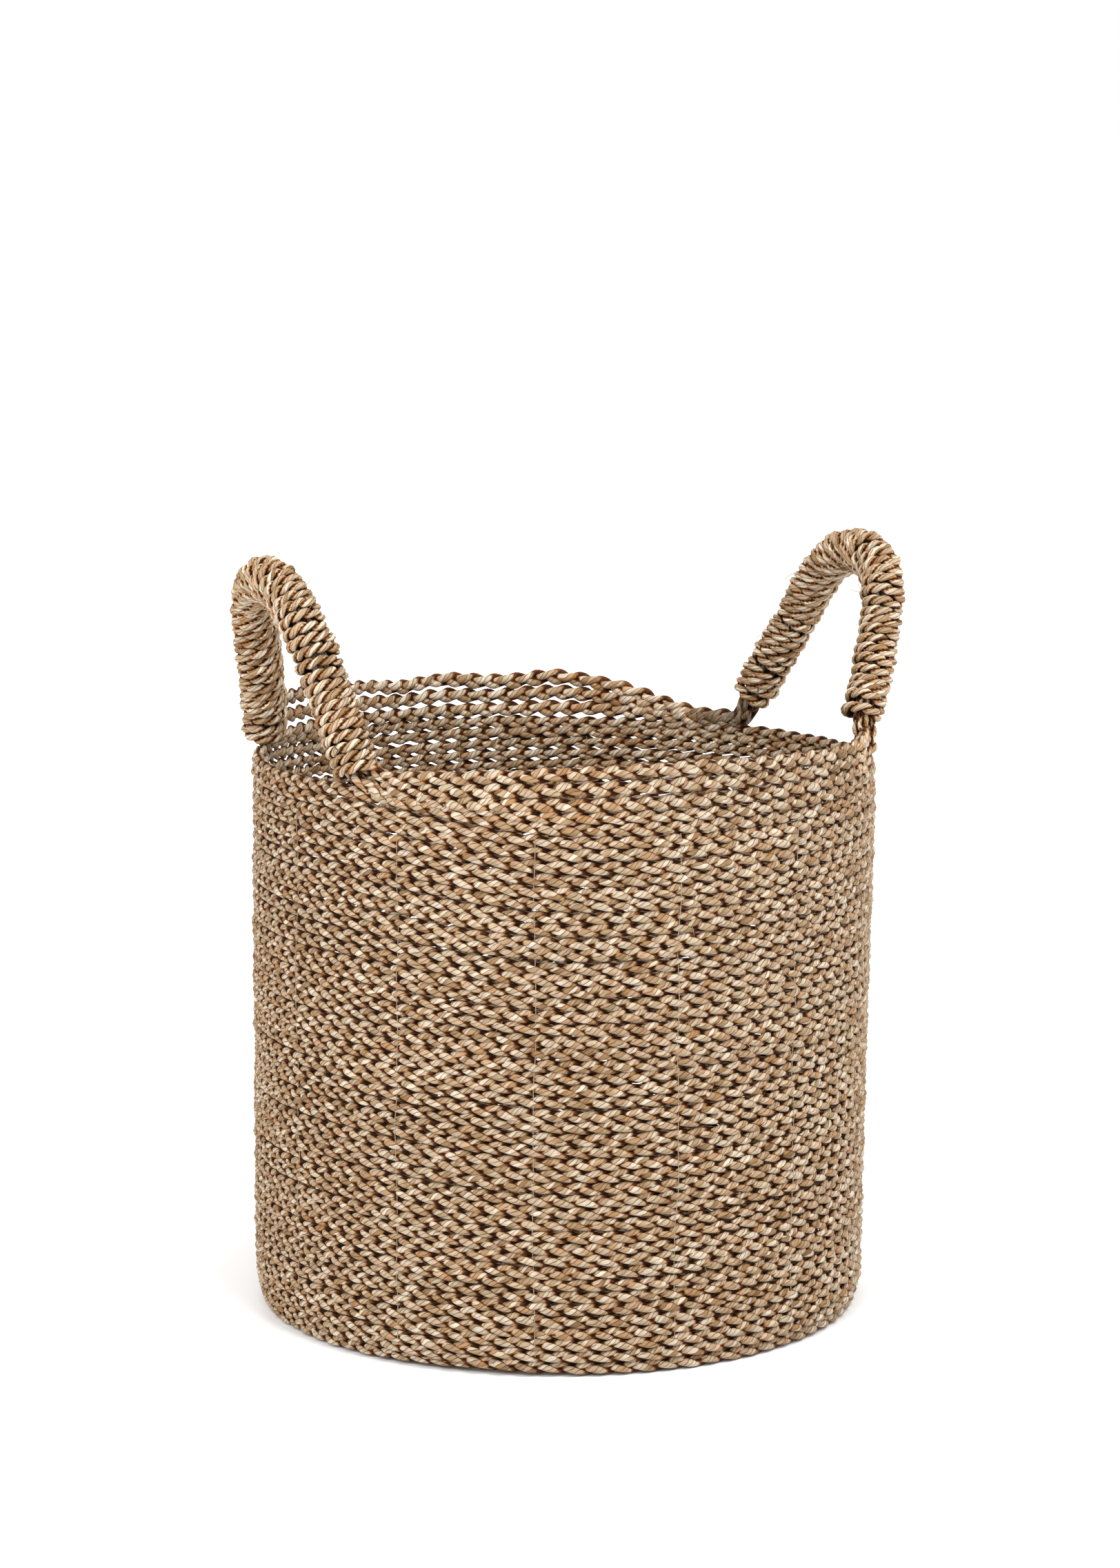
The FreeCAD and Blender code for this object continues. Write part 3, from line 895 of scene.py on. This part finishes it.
def make_wall_threads():
    """Upright runs of thread that show on the courses' crests and sink between them."""
    strands = []
    for face in (1, -1):
        for index in range(THREADS):
            turn = TURN * (index + 0.5) / THREADS
            z = np.arange(14 * MM, 338 * MM, PITCH / 6)
            seed = WALL_THREAD_SEED + index * 2 + face
            angle = turn + 0.007 * wander(z, 0.03, seed)
            course = (z - wall_foot) / PITCH - angle / TURN - 0.25
            sunk = 0.5 - 0.5 * np.cos(TURN * course)
            proud = 2.25 * MM + 0.3 * MM * sunk + 0.9 * MM * wander(z, 0.022, seed)
            radius = wall_radius(z) + face * proud
            strands.append(thread(settled(circling(radius, angle, z))))
    piece("wall_threads", strands, sewing, "basket", "sewing_thread", "wall_stitching")


def make_base_threads():
    """Radial runs of thread over the base's rounds, above and below."""
    strands = []
    for face in (1, -1):
        for index in range(THREADS):
            turn = TURN * (index + 0.5) / THREADS
            radius = np.arange(22 * MM, 185 * MM, 1.3 * MM)
            angle = turn + 0.004 * wander(radius, 0.03, BASE_THREAD_SEED + index)
            sunk = 0.5 + 0.5 * np.cos(TURN * (radius / COIL_PITCH - angle / TURN))
            proud = 2.7 * MM + 0.6 * MM * sunk + 0.6 * MM * wander(radius, 0.02, index)
            level = np.maximum(base_top / 2 + face * proud, 0.4 * MM)
            strands.append(thread(settled(circling(radius, angle, level))))
    piece("base_threads", strands, sewing, "basket", "sewing_thread", "base_stitching")


def make_fibres(name, body, starts, seed):
    """Loose fibres that stand off the surface: each start is a place and a way out."""
    dice = np.random.default_rng(seed)
    strands = []
    for place, way in starts:
        place, way = np.array(place, float), unit(np.array(way, float))
        side = unit(np.cross(way, dice.normal(size=3)))
        reach = dice.uniform(6, 17) * MM
        share = np.linspace(0, 1, 9)[:, None]
        line = place - way * 2.5 * MM + share * reach * way * 0.55 + share ** 2 * reach * 0.8 * side
        mesh = swept(line, np.linspace(1, 0.35, 9), fibre_round, "MINIMUM")
        mesh.uv_layers["UVMap"].name = "strand"
        openness = mesh.attributes.new("open", "FLOAT", "POINT")
        openness.data.foreach_set("value", np.ones(len(mesh.vertices)))
        strands.append(mesh)
    piece(name, strands, roped, body, "seagrass_rope")


def make_all_fibres():
    """Loose fibres all over the wall and the two handles."""
    dice = np.random.default_rng(FIBRE_SEED)
    starts = []
    for _ in range(WALL_FIBRES):
        angle, z = dice.uniform(0, TURN), dice.uniform(0.03, 0.35)
        way = np.array([math.cos(angle), math.sin(angle), 0])
        near = WALL_MIDDLE + 3.5 * MM
        place = settled(np.array([[*(way[:2] * near), z]]))[0]
        starts.append((place, way + np.array([0, 0, dice.uniform(-0.3, 0.5)])))
    make_fibres("wall_fibres", "basket", starts, FIBRE_SEED + 1)
    for side, name in ((1, "right_handle"), (-1, "left_handle")):
        route = handle_route(side)
        starts = []
        for reach in dice.uniform(LEG_END, route.length - LEG_END, HANDLE_FIBRES):
            turn = dice.uniform(0, TURN)
            out = route.at([reach], route.out)[0]
            across = route.at([reach], route.across)[0]
            way = unit(out * math.cos(turn) + across * math.sin(turn))
            starts.append((route.at([reach], route.line)[0] + way * (TURN_RADIUS + 3 * MM), way))
        make_fibres(f"{name}_fibres", name, starts, FIBRE_SEED + 2 + side)


make_wall()
make_base()
make_rim("back", BACK_EDGE, 1, -1, ("right_back", "left_back"), (LOW_TURN, EASY_TURN))
make_rim("front", FRONT_EDGE, -1, 1, ("left_front", "right_front"), (EASY_TURN, EASY_TURN))
make_core(1, "right_handle")
make_core(-1, "left_handle")
make_wrap(1, "right_handle", WRAP_FOOT, 23 * MM)
make_wrap(-1, "left_handle", 16 * MM, 15 * MM)
make_wall_threads()
make_base_threads()
make_all_fibres()


# ---- Camera, floor and light ----

def make_camera():
    """Some steps away in front, a little to the left, above the handles and looking down."""
    turned = math.radians(-21)
    distance = 2.700
    height = 0.792
    pitch = math.radians(9.57)
    lens = bpy.data.cameras.new("camera")
    lens.sensor_width = 36
    lens.lens = 97.3
    camera = bpy.data.objects.new("camera", lens)
    camera.location = (distance * math.sin(turned), -distance * math.cos(turned), height)
    camera.rotation_euler = (math.pi / 2 - pitch, 0, turned)
    scene.collection.objects.link(camera)
    scene.camera = camera


def seen_by_eye(tree):
    """1 where the camera, a mirror or a glass sees a surface itself, 0 for the light it gives."""
    rays = tree.nodes.new("ShaderNodeLightPath")
    seen = rays.outputs["Is Camera Ray"]
    for kind in ("Is Glossy Ray", "Is Transmission Ray"):
        either = tree.nodes.new("ShaderNodeMath")
        either.operation = "MAXIMUM"
        tree.links.new(seen, either.inputs[0])
        tree.links.new(rays.outputs[kind], either.inputs[1])
        seen = either.outputs[0]
    return seen


def make_floor():
    """A pale floor. Away from the basket the camera sees it brighter, to match the room."""
    shell = bmesh.new()
    bmesh.ops.create_grid(shell, x_segments=1, y_segments=1, size=40)
    mesh = bpy.data.meshes.new("floor")
    shell.to_mesh(mesh)
    shell.free()
    floor = bpy.data.objects.new("floor", mesh)
    scene.collection.objects.link(floor)
    node = Nodes("pale_floor")
    node.shader.inputs["Base Color"].default_value = (0.95, 0.95, 0.95, 1)
    node.shader.inputs["Roughness"].default_value = 1.0
    node.shader.inputs["Specular IOR Level"].default_value = 0.0
    place = node.add("ShaderNodeTexCoord").outputs["Object"]
    away = node.add("ShaderNodeVectorMath", {"operation": "LENGTH"}, Vector=place).outputs["Value"]
    far = node.add("ShaderNodeMapRange", Value=away, From_Min=0.20, From_Max=0.55, To_Max=0.45)
    glow = node.maths("MULTIPLY", seen_by_eye(node.tree), far.outputs[0])
    node.shader.inputs["Emission Color"].default_value = (1, 1, 1, 1)
    node.feed(node.shader.inputs["Emission Strength"], glow)
    mesh.materials.append(node.material)


def make_light():
    """An even white room, with six soft lamps for form. The room looks whiter than it shines."""
    def lamp(name, place, size, power):
        light = bpy.data.lights.new(name, "AREA")
        light.shape = "DISK"
        light.size = size
        light.energy = power
        holder = bpy.data.objects.new(name, light)
        holder.location = place
        aim = Vector((0, 0, 0.2)) - Vector(place)
        holder.rotation_euler = aim.to_track_quat("-Z", "Y").to_euler()
        scene.collection.objects.link(holder)

    lamp("key", (-1.8, -2.2, 2.4), 1.2, 36)
    lamp("front", (-1.0, -2.9, 1.3), 1.0, 12)
    lamp("left", (-2.8, -0.3, 1.6), 1.4, 32)
    lamp("right", (2.6, -1.2, 1.5), 1.6, 28)
    lamp("above", (0.3, -1.8, 2.9), 1.0, 50)
    lamp("back", (0.5, 2.6, 2.0), 1.4, 26)
    world = bpy.data.worlds.new("white_room")
    scene.world = world
    world.use_nodes = True
    tree = world.node_tree
    level = tree.nodes.new("ShaderNodeMapRange")
    level.inputs["To Min"].default_value = 0.62
    level.inputs["To Max"].default_value = 1.0
    tree.links.new(seen_by_eye(tree), level.inputs["Value"])
    background = tree.nodes["Background"]
    background.inputs["Color"].default_value = (1, 1, 1, 1)
    tree.links.new(level.outputs[0], background.inputs["Strength"])


make_camera()
make_floor()
make_light()
scene.view_settings.view_transform = "Standard"
